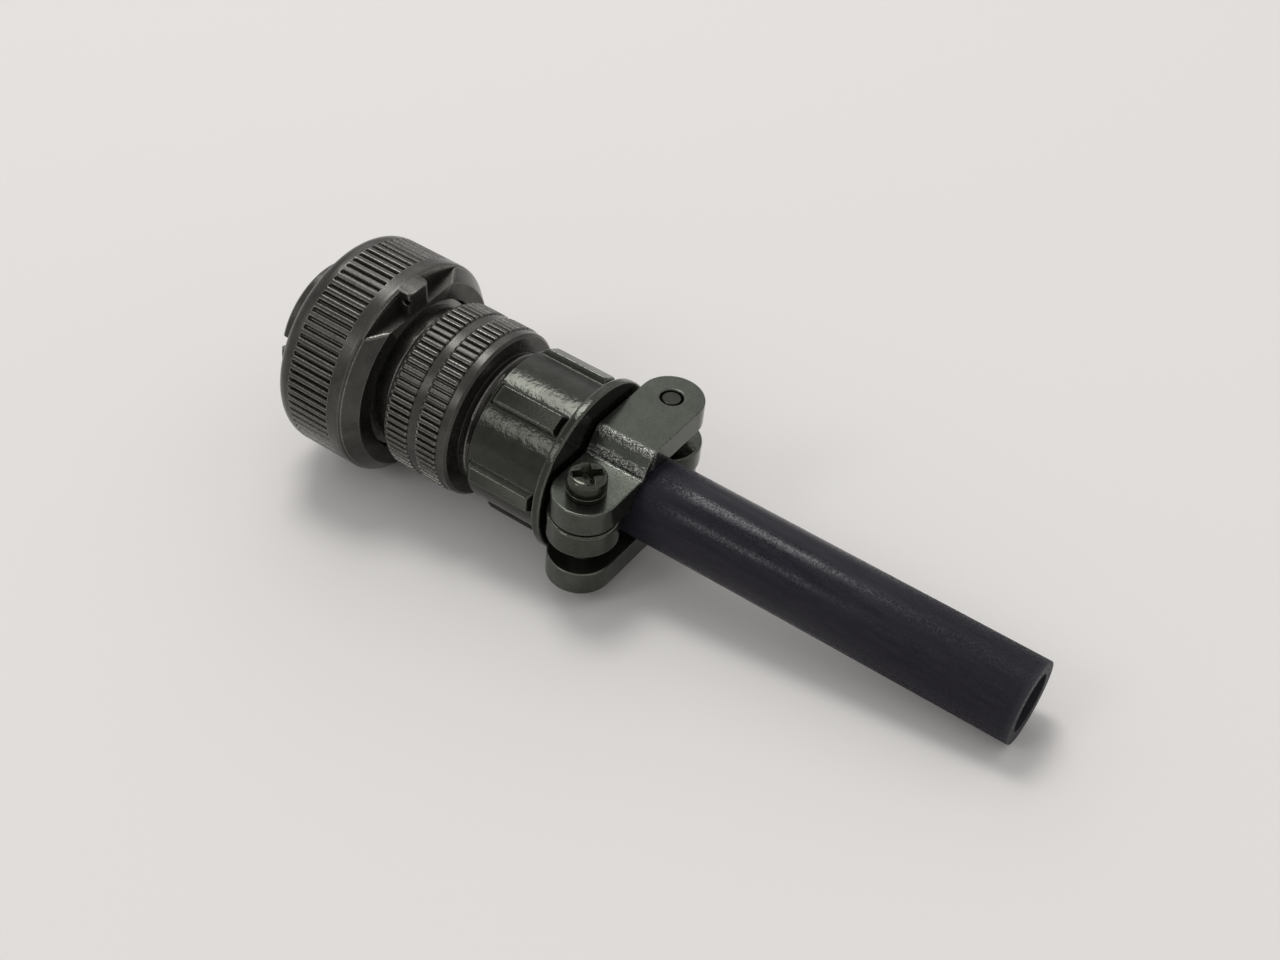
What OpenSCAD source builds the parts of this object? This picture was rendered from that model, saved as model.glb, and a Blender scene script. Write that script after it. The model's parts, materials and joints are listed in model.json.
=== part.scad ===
// Circular threaded cable plug with a knurled coupling nut, an end bell, a two-saddle
// cable clamp and a rubber cable sleeve. Millimetres, +Z up, lying as it comes to rest.
// Stations run along the plug's own axis: 0 is the rear face of the clamp's flange, and
// plus is towards the mating rim. Across the axis, y is sideways and z is up.

/* [Coupling nut] */
// Outside diameter of the coupling nut
nut_d = 29; // [26:0.5:34]
// Axial length of the knurled band on the nut
nut_knurl_len = 6.3; // [5:0.1:10]
// Number of knurl flutes on the nut
nut_flutes = 76; // [48:4:96]
// Depth of the knurl flutes on the nut
nut_flute_depth = 0.5; // [0.3:0.05:0.7]
// Plain band between the knurl and the rear shoulder
nut_band_len = 1.7; // [1:0.1:4]
// Length of the rounded nose in front of the knurl
nut_nose_len = 1.9; // [1:0.1:3]
// Radial drop of the rounded nose
nut_nose_drop = 1.6; // [0.8:0.1:2]
// Length of the tapered collar behind the shoulder
collar_len = 2.1; // [1.8:0.1:3]
// Radial taper of the collar over its length
collar_taper = 1.8; // [0.8:0.1:2]
// Conical land left between the plain band and the flats milled beside each lock-wire tab
flat_land = 0.3; // [0.2:0.05:0.9]
// Width of each lock-wire tab
tab_w = 3.6; // [2.5:0.1:5]
// Number of lock-wire tabs round the collar
tab_count = 2; // [2:1:4]
// Diameter of the wire hole through each tab
wire_hole_d = 0.9; // [0.6:0.1:1.1]
// Thickness of the nut's inner wall that turns on the shell
nut_wall = 3.6; // [2.5:0.1:5]

/* [Plug shell] */
// Outside diameter of the mating barrel
barrel_d = 18.7; // [17:0.1:20]
// Wall thickness of the mating barrel
barrel_wall = 1.45; // [1.1:0.05:1.8]
// How far the mating rim stands in front of the nut
rim_proud = 3.9; // [2:0.1:6]
// Radial room between the barrel and the nut's thread for the mating shell
mating_gap = 1.25; // [1:0.05:1.6]
// Width of the polarising keyway
keyway_w = 1.8; // [1.2:0.1:2.4]
// Length of the polarising keyway from the rim
keyway_len = 6.5; // [4:0.1:8]
// Length of the collar that stops the nut
stop_len = 1.8; // [1.2:0.1:2.5]

/* [Inserts and contacts] */
// Contacts on the ring round the middle one
ring_contacts = 5; // [4:1:5]
// Web of the front insert outside the ring of contacts
insert_web = 2.2; // [1.8:0.1:2.6]
// Diameter of the mating pin that each contact takes
pin_d = 1.6; // [1.4:0.1:1.8]
// Outside diameter of the contact's socket and solder cup
socket_d = 2.5; // [2.3:0.1:2.8]
// Depth of the insert's face below the rim
face_recess = 0.8; // [0.4:0.1:2]
// Length of the front insert's seating flange
insert_flange_len = 2.8; // [2.4:0.1:4]
// Length of the rear insert
rear_insert_len = 5.5; // [4:0.1:7]
// How far the solder cups stand out of the rear insert
cup_reach = 3.5; // [2:0.1:4.5]

/* [End bell] */
// Outside diameter of the end bell over its knurl
bell_d = 22.8; // [21.6:0.2:26]
// Plain edge in front of the end bell's knurl
bell_edge_len = 0.5; // [0.3:0.1:1]
// Length of the front knurled band
bell_front_band = 3.5; // [2.5:0.1:5]
// Length of the lower, smooth ring between the knurled bands
bell_mid_ring = 1.2; // [0.8:0.1:2]
// Length of the rear knurled band
bell_rear_band = 3.3; // [2.5:0.1:5]
// Length of the plain lip at the rear
bell_lip_len = 1.4; // [1:0.1:2.5]
// Number of knurl flutes on the end bell
bell_flutes = 70; // [48:2:90]
// Depth of the knurl flutes on the end bell
bell_flute_depth = 0.45; // [0.3:0.05:0.6]
// Open gap between the end bell and the nut
bell_to_nut = 2.4; // [1.5:0.1:4]

/* [Cable clamp body] */
// Outside diameter of the clamp's smooth barrel
clamp_d = 20.2; // [19:0.2:22]
// Wall thickness of the clamp's barrel
clamp_wall = 1.2; // [0.9:0.1:1.6]
// Length of the clamp body, flange included
clamp_len = 12.3; // [11:0.1:16]
// Length of end-bell neck that shows in front of the clamp
neck_show = 2.25; // [1:0.05:3]
// Diameter of the rear flange
flange_d = 22.9; // [21:0.1:24]
// Thickness of the rear flange
flange_t = 1.3; // [1:0.1:2]
// Thickness of the clamp's rear wall, flange included
rear_wall = 3; // [2:0.1:4]
// Number of raised pads round the barrel
pad_count = 6; // [4:1:8]
// Width of a pad at its foot
pad_w = 2.9; // [2:0.1:4]
// Height of a pad above the barrel
pad_h = 0.8; // [0.4:0.1:1.4]
// How much each pad's sides and rear end lean in from foot to top
pad_draft = 0.3; // [0.1:0.05:0.6]
// Length of the slope at each pad's front end
pad_slope = 0.9; // [0.3:0.1:1.5]
// Plain barrel left in front of and behind each pad
pad_margin = 0.7; // [0.5:0.1:2]
// Thickness of the two ears
ear_t = 3.3; // [2.6:0.1:4]

/* [Saddles and screws] */
// Width of a saddle along the plug's axis
saddle_w = 8.3; // [7:0.1:10]
// Distance between the two screws
screw_span = 17.4; // [16.6:0.2:20]
// Thickness of a saddle at its two ends
saddle_t = 3.4; // [2.8:0.1:4.2]
// Height of the tapped end above the spot-faced end
saddle_step = 3; // [2.4:0.1:4]
// Gap between the flange and the saddles
saddle_gap = 0.4; // [0.3:0.1:1.5]
// Thickness of the saddle over its arch where the ramp starts
arch_wall = 0.55; // [0.4:0.05:1.2]
// Width of the saddle's ramp
ramp_w = 1.8; // [1:0.1:2.6]
// Setback of the rounding along the ridge between the ramp and the raised end
ridge_round = 0.8; // [0.3:0.1:1.2]
// Nominal diameter of the clamp screws
screw_d = 2.84; // [2.4:0.02:3.2]
// Diameter of the screw heads
head_d = 4.9; // [4.6:0.1:5.8]
// Height of the screw heads
head_h = 2.2; // [1.6:0.1:2.8]
// Thickness of the split lock washers
washer_t = 0.7; // [0.5:0.05:1]

/* [Cable sleeve] */
// Outside diameter of the rubber sleeve
sleeve_d = 10.5; // [9.6:0.1:11.4]
// Bore of the rubber sleeve
sleeve_bore_d = 7.35; // [6:0.05:8]
// How far the sleeve reaches behind the clamp's flange
sleeve_reach = 59.3; // [40:0.1:90]
// How far the sleeve reaches into the clamp from the flange
sleeve_inside = 9; // [5:0.1:10]

/* [Hidden] */
$fn = 96;

// Fits and clearances
running_fit = 0.06;
seat_gap = 0.05;
thread_fit = 0.05;
insert_fit = 0.08;
nut_float = 0.2;
sleeve_fit = 0.1;
arch_gap = 0.12;
shank_gap = 0.25;
cut_over = 1;
blend = 0.2;
crest_drop = 0.05;

// Radii from the axis outwards
nut_r = nut_d / 2;
barrel_r = barrel_d / 2;
front_bore_r = barrel_r - barrel_wall;
insert_step = 0.6;
rear_bore_r = front_bore_r + insert_step;
nut_bore_r = barrel_r + running_fit;
thread_r = barrel_r + mating_gap;
thread_relief = 0.45;
stop_r = thread_r - shank_gap;
ring_height = 0.9;
ring_r = barrel_r + ring_height;
ring_groove = 0.45;
ring_seat_r = ring_r + shank_gap;
collar_wall = 0.75;
flat_r = ring_seat_r + collar_wall;
collar_rear_r = nut_r - collar_taper;
nut_nose_r = nut_r - nut_nose_drop;
bell_r = bell_d / 2;
bell_lip_r = bell_r - bell_flute_depth / 2;
bell_bore_r = barrel_r + thread_fit;
clamp_r = clamp_d / 2;
clamp_bore_r = clamp_r - clamp_wall;
neck_r = clamp_bore_r - thread_fit;
neck_wall = 1.3;
neck_bore_r = neck_r - neck_wall;
flange_r = flange_d / 2;
pad_r = clamp_r + pad_h;
sleeve_r = sleeve_d / 2;
sleeve_seat_r = sleeve_r + sleeve_fit;
arch_r = sleeve_r + arch_gap;
screw_r = screw_d / 2;
tapped_r = screw_r + running_fit;
clearance_r = screw_r + shank_gap;

// Stations along the axis
x_clamp_front = clamp_len;
x_lip = x_clamp_front + neck_show;
bell_len = bell_lip_len + bell_rear_band + bell_mid_ring + bell_front_band + bell_edge_len;
x_bell_front = x_lip + bell_len;
bell_web = 1.4;
x_bell_floor = x_lip + bell_web;
x_neck_rear = rear_wall + seat_gap;
x_shell_rear = x_bell_floor + seat_gap;
x_collar = x_bell_front + bell_to_nut;
x_shoulder = x_collar + collar_len;
flat_len = collar_len - flat_land;
x_nut_knurl = x_shoulder + nut_band_len;
nut_land = 0.4;
x_nut_nose = x_nut_knurl + nut_knurl_len + nut_land;
x_nut_front = x_nut_nose + nut_nose_len;
x_rim = x_nut_front + rim_proud;
ring_room = 2;
x_wall_rear = x_collar + ring_room;
x_wall_front = x_wall_rear + nut_wall;
relief_len = 1.4;
x_stop = x_wall_front + nut_float;
ring_t = 0.9;
x_ring = x_wall_rear - nut_float - ring_t;
x_face = x_rim - face_recess;
x_ledge = x_stop;
x_split = x_ledge - insert_fit - insert_flange_len;
x_insert_rear = x_split - rear_insert_len;
x_insert_ring = x_insert_rear - seat_gap - ring_t;
x_saddle = -saddle_gap - saddle_w / 2;

// Heights across the clamp, measured from the axis
saddle_end_r = saddle_w / 2;
screw_y = screw_span / 2;
z_ear = ear_t / 2;
z_low_foot = z_ear + seat_gap;
z_low_top = z_low_foot + saddle_t;
z_high_foot = z_low_foot + saddle_step;
z_high_top = z_high_foot + saddle_t;
z_washer = z_low_top + seat_gap;
z_head = z_washer + washer_t + seat_gap;
spot_step = 0.4;
ear_margin = 0.3;
ramp_foot_y = sqrt(max(0, pow(arch_r + arch_wall, 2) - pow(z_low_top, 2)));

// Contact sizes that the inserts and the contacts share
socket_r = socket_d / 2;
collar_h = 0.35;
contact_collar_r = socket_r + collar_h;
contact_collar_len = 1.6;
entry_len = 1.3;
entry_r = pin_d / 2 + shank_gap;
insert_nose_r = front_bore_r - insert_fit;
insert_flange_r = rear_bore_r - insert_fit;
cavity_r = socket_r + insert_fit;
contact_ring_r = insert_nose_r - insert_web - cavity_r;

// Shares of a knurl's pitch from the middle of a crest: where the crest ends and the root starts
crest_end = 0.25;
root_start = 0.37;

// Lying pose: the nut's shoulder and the sleeve's end both touch the floor
pitch = atan((nut_r - sleeve_r) / (x_shoulder + sleeve_reach));
x_low = -sleeve_reach * cos(pitch) - sleeve_r * sin(pitch);
x_high = x_rim * cos(pitch) + barrel_r * sin(pitch);
rest_z = sleeve_reach * sin(pitch) + sleeve_r * cos(pitch);

// Angles round the axis, from sideways towards up
tab_start = 86;
key_angle = 15;
contact_start = 90;

// Colours
olive = [0.20, 0.21, 0.17];
dark_olive = [0.16, 0.17, 0.14];
steel = [0.55, 0.55, 0.53];
insert_green = [0.12, 0.20, 0.16];
contact_gold = [0.72, 0.62, 0.40];
sleeve_black = [0.10, 0.09, 0.13];

// Tips the plug over to its resting pose and centres it over the origin
module lie_down() {
  translate([-(x_low + x_high) / 2, 0, rest_z])
    rotate([0, -pitch, 0])
      children();
}

// Stands a flat drawing across the axis at station x: drawing x is sideways, y is up
module across_axis(x) {
  translate([x, 0, 0])
    rotate([90, 0, 90])
      children();
}

// Turns a profile of [radius, station] points round the axis
module turned(profile) {
  across_axis(0)
    rotate_extrude()
      polygon(profile);
}

// Outline of a straight knurl: flat crests and narrow roots with sloping flanks
function fluted(crest_r, depth, count) = [
  for (i = [0 : count - 1])
    for (p = [[-crest_end, 0], [crest_end, 0], [root_start, depth], [1 - root_start, depth]])
      let (a = (i + p[0]) * 360 / count)
        (crest_r - p[1]) * [cos(a), sin(a)]
];

// Quarter-round points from the outside of a nose to its front face
function nose_arc(r_in, x_start, drop, len) = [
  for (a = [0 : 15 : 90])
    [r_in + drop * cos(a), x_start + len * sin(a)]
];

// One knurled band of a turned part
module knurl_band(x, len, crest_r, depth, count) {
  across_axis(x)
    linear_extrude(len)
      polygon(fluted(crest_r, depth, count));
}

// Aluminium shell: mating barrel with keyway, nut stop, ring groove and rear thread length
module plug_shell() {
  rim_edge = 0.4;
  color(olive)
    lie_down()
      difference() {
        turned([
          [front_bore_r, x_rim],
          [barrel_r - rim_edge, x_rim],
          [barrel_r, x_rim - rim_edge],
          [barrel_r, x_stop + stop_len],
          [stop_r, x_stop + stop_len],
          [stop_r, x_stop],
          [barrel_r, x_stop],
          [barrel_r, x_ring + ring_t + seat_gap],
          [barrel_r - ring_groove, x_ring + ring_t + seat_gap],
          [barrel_r - ring_groove, x_ring - seat_gap],
          [barrel_r, x_ring - seat_gap],
          [barrel_r, x_shell_rear],
          [rear_bore_r, x_shell_rear],
          [rear_bore_r, x_insert_ring - seat_gap],
          [rear_bore_r + ring_groove, x_insert_ring - seat_gap],
          [rear_bore_r + ring_groove, x_insert_ring + ring_t + seat_gap / 2],
          [rear_bore_r, x_insert_ring + ring_t + seat_gap / 2],
          [rear_bore_r, x_ledge],
          [front_bore_r, x_ledge]
        ]);
        across_axis(x_rim - keyway_len)
          linear_extrude(keyway_len + cut_over)
            rotate(key_angle)
              translate([front_bore_r - insert_step, -keyway_w / 2])
                square([barrel_r, keyway_w]);
      }
}

// Place of each lock-wire tab round the nut, with local y pointing outwards
module at_tabs() {
  for (i = [0 : tab_count - 1])
    rotate([tab_start + i * 360 / tab_count, 0, 0])
      children();
}

// Plan of a lock-wire tab: a tongue with its rear corners rounded
module tongue() {
  corner = min(tab_w, flat_len) / 2;
  half_w = tab_w / 2;
  polygon(concat(
    [
      [x_shoulder + blend, -half_w],
      [x_shoulder + blend, half_w]
    ],
    [for (a = [90 : 15 : 180]) [x_collar + corner * (1 + cos(a)), half_w - corner * (1 - sin(a))]],
    [for (a = [180 : 15 : 270]) [x_collar + corner * (1 + cos(a)), corner * (1 + sin(a)) - half_w]]
  ));
}

// Lock-wire tabs, left at about the nut's full radius
module lock_tabs() {
  intersection() {
    across_axis(x_collar)
      cylinder(r = nut_r - crest_drop, h = collar_len + blend);
    at_tabs()
      translate([0, nut_r, 0])
        rotate([90, 0, 0])
          linear_extrude(nut_r - flat_r + blend)
            tongue();
  }
}

// Flats milled across the collar, one at each tab
module milled_flats() {
  at_tabs()
    translate([x_collar - cut_over, flat_r, -nut_r])
      cube([flat_len + cut_over, nut_r, nut_d]);
}

// Coupling nut: knurled, with a rounded nose, a tapered collar and milled lock-wire tabs
module coupling_nut() {
  knurl_floor = nut_r - nut_flute_depth - blend;
  x_knurl_end = x_nut_knurl + nut_knurl_len;
  color(olive)
    lie_down()
      difference() {
        union() {
          difference() {
            turned(concat(
              [
                [0, x_collar],
                [collar_rear_r, x_collar],
                [nut_r, x_shoulder],
                [nut_r, x_nut_knurl],
                [knurl_floor, x_nut_knurl],
                [knurl_floor, x_knurl_end],
                [nut_r, x_knurl_end]
              ],
              nose_arc(nut_nose_r, x_nut_nose, nut_nose_drop, nut_nose_len),
              [[0, x_nut_front]]
            ));
            milled_flats();
          }
          knurl_band(
            x_nut_knurl - blend, nut_knurl_len + 2 * blend, nut_r - crest_drop, nut_flute_depth, nut_flutes
          );
          lock_tabs();
        }
        turned([
          [0, x_collar - cut_over],
          [ring_seat_r, x_collar - cut_over],
          [ring_seat_r, x_wall_rear],
          [nut_bore_r, x_wall_rear],
          [nut_bore_r, x_wall_front],
          [thread_r + thread_relief, x_wall_front],
          [thread_r + thread_relief, x_wall_front + relief_len],
          [thread_r, x_wall_front + relief_len + thread_relief],
          [thread_r, x_nut_front - thread_relief],
          [thread_r + thread_relief + cut_over, x_nut_front + cut_over],
          [0, x_nut_front + cut_over]
        ]);
        at_tabs()
          translate([x_collar + flat_len / 2, (flat_r + nut_r) / 2, 0])
            cylinder(d = wire_hole_d, h = tab_w + 2 * cut_over, center = true);
      }
}

// Sprung ring, open at one place, turned from a rectangle of [inner, outer] radius
module open_ring(x, inner_r, outer_r, opening, angle) {
  difference() {
    turned([[inner_r, x], [outer_r, x], [outer_r, x + ring_t], [inner_r, x + ring_t]]);
    across_axis(x - cut_over)
      linear_extrude(ring_t + 2 * cut_over)
        rotate(angle)
          translate([0, -opening / 2])
            square([2 * outer_r, opening]);
  }
}

// Ring that keeps the nut on the shell, sprung into the shell's outer groove
module nut_retaining_ring() {
  opening = 3;
  angle = 270;
  color(steel)
    lie_down()
      open_ring(x_ring, barrel_r - ring_groove + seat_gap, ring_r, opening, angle);
}

// Ring behind the rear insert, sprung into the shell's inner groove
module insert_retaining_ring() {
  opening = 4;
  angle = 270;
  height = 1.2;
  color(steel)
    lie_down()
      open_ring(x_insert_ring, rear_bore_r - height, rear_bore_r + ring_groove - seat_gap, opening, angle);
}

// Place of contact i: the ring first, and the middle one last
function contact_place(i) =
  let (a = contact_start + i * 360 / ring_contacts)
    i < ring_contacts ? contact_ring_r * [cos(a), sin(a)] : [0, 0];

// Repeats a drawing at each contact
module at_contacts() {
  for (i = [0 : ring_contacts])
    translate(contact_place(i))
      children();
}

// Moulded front insert: nose in the barrel, flange on the shell's ledge, one cavity a contact
module front_insert() {
  edge = 0.4;
  color(insert_green)
    lie_down()
      difference() {
        turned([
          [0, x_face],
          [insert_nose_r - edge, x_face],
          [insert_nose_r, x_face - edge],
          [insert_nose_r, x_ledge - insert_fit],
          [insert_flange_r, x_ledge - insert_fit],
          [insert_flange_r, x_split],
          [0, x_split]
        ]);
        across_axis(x_split - cut_over)
          linear_extrude(x_face - x_split + 2 * cut_over)
            at_contacts()
              circle(entry_r);
        across_axis(x_split - cut_over)
          linear_extrude(x_face - entry_len - x_split + cut_over)
            at_contacts()
              circle(cavity_r);
        across_axis(x_split - cut_over)
          linear_extrude(contact_collar_len + insert_fit + cut_over)
            at_contacts()
              circle(contact_collar_r + insert_fit);
      }
}

// Moulded rear insert: a plain disc that traps the contacts' collars
module rear_insert() {
  color(insert_green)
    lie_down()
      across_axis(x_insert_rear)
        linear_extrude(rear_insert_len - seat_gap)
          difference() {
            circle(insert_flange_r);
            at_contacts()
              circle(cavity_r);
          }
}

// Turned socket contact with a pin bore in front and an open solder cup behind
module contact(i) {
  pin_bore_r = pin_d / 2 + running_fit;
  pin_bore_len = 6;
  cup_floor = 0.4;
  cup_bore_len = cup_reach - cup_floor;
  window_z = socket_r / 2;
  x_tip = x_face - entry_len - seat_gap;
  x_cup = x_insert_rear - cup_reach;
  color(contact_gold)
    lie_down()
      translate([0, contact_place(i)[0], contact_place(i)[1]])
        difference() {
          turned([
            [0, x_cup],
            [socket_r, x_cup],
            [socket_r, x_split],
            [contact_collar_r, x_split],
            [contact_collar_r, x_split + contact_collar_len],
            [socket_r, x_split + contact_collar_len],
            [socket_r, x_tip],
            [0, x_tip]
          ]);
          across_axis(x_tip - pin_bore_len)
            cylinder(r = pin_bore_r, h = pin_bore_len + cut_over);
          across_axis(x_cup - cut_over)
            cylinder(r = pin_bore_r, h = cup_bore_len + cut_over);
          translate([x_cup - cut_over, -socket_r, window_z])
            cube([cup_bore_len + cut_over, socket_d, socket_r]);
        }
}

module contact_a() {
  contact(0);
}

module contact_b() {
  contact(1);
}

module contact_c() {
  contact(2);
}

module contact_d() {
  contact(3);
}

module contact_e() {
  contact(ring_contacts - 1);
}

module contact_f() {
  contact(ring_contacts);
}

// End bell: two knurled bands, a plain lip, and a neck that the clamp screws onto
module end_bell() {
  edge = 0.35;
  root_r = bell_r - bell_flute_depth;
  x_rear_band = x_lip + bell_lip_len;
  x_mid_ring = x_rear_band + bell_rear_band;
  x_front_band = x_mid_ring + bell_mid_ring;
  x_edge = x_front_band + bell_front_band;
  color(olive)
    lie_down()
      difference() {
        union() {
          turned([
            [0, x_neck_rear],
            [neck_r, x_neck_rear],
            [neck_r, x_lip],
            [bell_lip_r - edge, x_lip],
            [bell_lip_r, x_lip + edge],
            [bell_lip_r, x_rear_band + blend],
            [root_r - blend, x_rear_band + blend],
            [root_r - blend, x_mid_ring - blend],
            [bell_lip_r, x_mid_ring - blend],
            [bell_lip_r, x_front_band + blend],
            [root_r - blend, x_front_band + blend],
            [root_r - blend, x_edge - blend],
            [bell_lip_r, x_edge - blend],
            [bell_lip_r, x_bell_front - edge],
            [bell_lip_r - edge, x_bell_front],
            [0, x_bell_front]
          ]);
          knurl_band(x_rear_band, bell_rear_band, bell_r, bell_flute_depth, bell_flutes);
          knurl_band(x_front_band, bell_front_band, bell_r, bell_flute_depth, bell_flutes);
        }
        turned([
          [0, x_neck_rear - cut_over],
          [neck_bore_r, x_neck_rear - cut_over],
          [neck_bore_r, x_bell_floor],
          [bell_bore_r, x_bell_floor],
          [bell_bore_r, x_bell_front + cut_over],
          [0, x_bell_front + cut_over]
        ]);
      }
}

// One raised pad with drafted walls and a sloping front end, turned to an angle round the axis
module pad(angle) {
  x_foot = flange_t + pad_margin;
  x_end = clamp_len - pad_margin;
  foot_r = clamp_r - clamp_wall / 2;
  half_w = pad_w / 2;
  rotate([angle, 0, 0])
    intersection() {
      across_axis(x_foot)
        linear_extrude(x_end - x_foot)
          polygon([
            [foot_r, -half_w],
            [clamp_r, -half_w],
            [pad_r, pad_draft - half_w],
            [pad_r, half_w - pad_draft],
            [clamp_r, half_w],
            [foot_r, half_w]
          ]);
      translate([0, 0, -pad_w])
        linear_extrude(2 * pad_w)
          polygon([
            [x_foot, foot_r],
            [x_foot, clamp_r],
            [x_foot + pad_draft, pad_r],
            [x_end - pad_slope, pad_r],
            [x_end, clamp_r],
            [x_end, foot_r]
          ]);
    }
}

// One ear: round end about its screw, running forward into the flange
module ear(side) {
  ear_r = saddle_end_r + ear_margin;
  translate([0, 0, -z_ear])
    linear_extrude(ear_t)
      union() {
        translate([x_saddle, side * screw_y])
          circle(ear_r);
        translate([x_saddle, side * screw_y - ear_r])
          square([flange_t / 2 - x_saddle, 2 * ear_r]);
      }
}

// Clamp body: smooth barrel with raised pads, rear flange and two ears for the screws
module clamp_body() {
  edge = 0.3;
  color(olive)
    lie_down()
      difference() {
        union() {
          turned([
            [0, 0],
            [flange_r, 0],
            [flange_r, flange_t],
            [clamp_r, flange_t],
            [clamp_r, clamp_len - edge],
            [clamp_r - edge, clamp_len],
            [0, clamp_len]
          ]);
          for (i = [0 : pad_count - 1])
            pad(i * 360 / pad_count);
          for (side = [-1, 1])
            ear(side);
        }
        turned([
          [0, -2 * saddle_w],
          [sleeve_seat_r, -2 * saddle_w],
          [sleeve_seat_r, rear_wall],
          [clamp_bore_r, rear_wall],
          [clamp_bore_r, clamp_len + cut_over],
          [0, clamp_len + cut_over]
        ]);
        for (side = [-1, 1])
          translate([x_saddle, side * screw_y, 0])
            cylinder(r = clearance_r, h = ear_t + 2 * cut_over, center = true);
      }
}

// Points of a corner rounded off by a curve that starts and ends at a setback from it
function rounded_corner(before, corner, after, setback) =
  let (start = corner + setback * (before - corner) / norm(before - corner))
    let (end = corner + setback * (after - corner) / norm(after - corner))
      [for (t = [0 : 0.25 : 1]) pow(1 - t, 2) * start + 2 * t * (1 - t) * corner + pow(t, 2) * end];

// Side view of a saddle: spot-faced end at plus y, ramp, and raised tapped end at minus y
module saddle_side_view() {
  reach = screw_y + saddle_end_r;
  ramp_top_y = ramp_foot_y - ramp_w;
  step_top = [ramp_foot_y, z_low_top + spot_step];
  high_end = [-reach, z_high_top];
  polygon(concat(
    [
      [reach, z_low_foot],
      [reach, z_low_top],
      [ramp_foot_y, z_low_top],
      step_top
    ],
    rounded_corner(step_top, [ramp_top_y, z_high_top], high_end, ridge_round),
    [
      high_end,
      [-reach, z_high_foot],
      [0, z_high_foot],
      [0, z_low_foot]
    ]
  ));
}

// One saddle: round-ended bar arched over the sleeve, a plain hole and a tapped hole
module saddle() {
  difference() {
    intersection() {
      translate([x_saddle - saddle_w / 2, 0, 0])
        rotate([90, 0, 90])
          linear_extrude(saddle_w)
            saddle_side_view();
      linear_extrude(z_high_top + cut_over)
        union() {
          for (side = [-1, 1])
            translate([x_saddle, side * screw_y])
              circle(saddle_end_r);
          translate([x_saddle - saddle_w / 2, -screw_y])
            square([saddle_w, screw_span]);
        }
    }
    across_axis(x_saddle - saddle_w)
      cylinder(r = arch_r, h = 2 * saddle_w);
    translate([x_saddle, screw_y, 0])
      cylinder(r = clearance_r, h = z_high_top + cut_over);
    translate([x_saddle, -screw_y, 0])
      cylinder(r = tapped_r, h = z_high_top + cut_over);
  }
}

// Upper saddle, its spot-faced end on the near side
module upper_saddle() {
  color(olive)
    lie_down()
      saddle();
}

// Lower saddle, the same casting turned half a turn about the axis
module lower_saddle() {
  color(olive)
    lie_down()
      rotate([180, 0, 0])
        saddle();
}

// Clamp screw: pan head with a cross recess, plain shank that reaches the far saddle's face
module screw() {
  tip_edge = 0.3;
  head_round = 0.7;
  recess_w = 1.1;
  recess_len = 3.5;
  recess_depth = 1.3;
  recess_turn = 45;
  head_r = head_d / 2;
  tip = -z_high_top + tip_edge / 2;
  head_top = z_head + head_h;
  translate([x_saddle, screw_y, 0])
    difference() {
      rotate_extrude()
        polygon(concat(
          [
            [0, tip],
            [screw_r - tip_edge, tip],
            [screw_r, tip + tip_edge],
            [screw_r, z_head],
            [head_r, z_head]
          ],
          nose_arc(head_r - head_round, head_top - head_round, head_round, head_round),
          [[0, head_top]]
        ));
      for (turn = [0, 90])
        rotate(turn + recess_turn)
          translate([-recess_len / 2, -recess_w / 2, head_top - recess_depth])
            cube([recess_len, recess_w, recess_depth + cut_over]);
    }
}

// Screw on the near side, its head up
module near_screw() {
  color(dark_olive)
    lie_down()
      screw();
}

// Screw on the far side, its head down
module far_screw() {
  color(dark_olive)
    lie_down()
      rotate([180, 0, 0])
        screw();
}

// Split lock washer under a screw head
module lock_washer() {
  split = 0.5;
  split_angle = 30;
  translate([x_saddle, screw_y, z_washer])
    linear_extrude(washer_t)
      difference() {
        circle(head_d / 2);
        circle(clearance_r);
        rotate(split_angle)
          translate([0, -split / 2])
            square([head_d, split]);
      }
}

// Washer under the near screw's head
module near_lock_washer() {
  color(dark_olive)
    lie_down()
      lock_washer();
}

// Washer under the far screw's head
module far_lock_washer() {
  color(dark_olive)
    lie_down()
      rotate([180, 0, 0])
        lock_washer();
}

// Rubber sleeve that the saddles grip and the cable passes through
module cable_sleeve() {
  color(sleeve_black)
    lie_down()
      across_axis(-sleeve_reach)
        difference() {
          cylinder(r = sleeve_r, h = sleeve_reach + sleeve_inside);
          translate([0, 0, -cut_over])
            cylinder(d = sleeve_bore_d, h = sleeve_reach + sleeve_inside + 2 * cut_over);
        }
}

plug_shell();
coupling_nut();
nut_retaining_ring();
front_insert();
rear_insert();
insert_retaining_ring();
contact_a();
contact_b();
contact_c();
contact_d();
contact_e();
contact_f();
end_bell();
clamp_body();
upper_saddle();
lower_saddle();
near_screw();
far_screw();
near_lock_washer();
far_lock_washer();
cable_sleeve();
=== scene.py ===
import json
import math

import bmesh
import bpy
import numpy as np
from mathutils import Matrix, Vector


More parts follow.
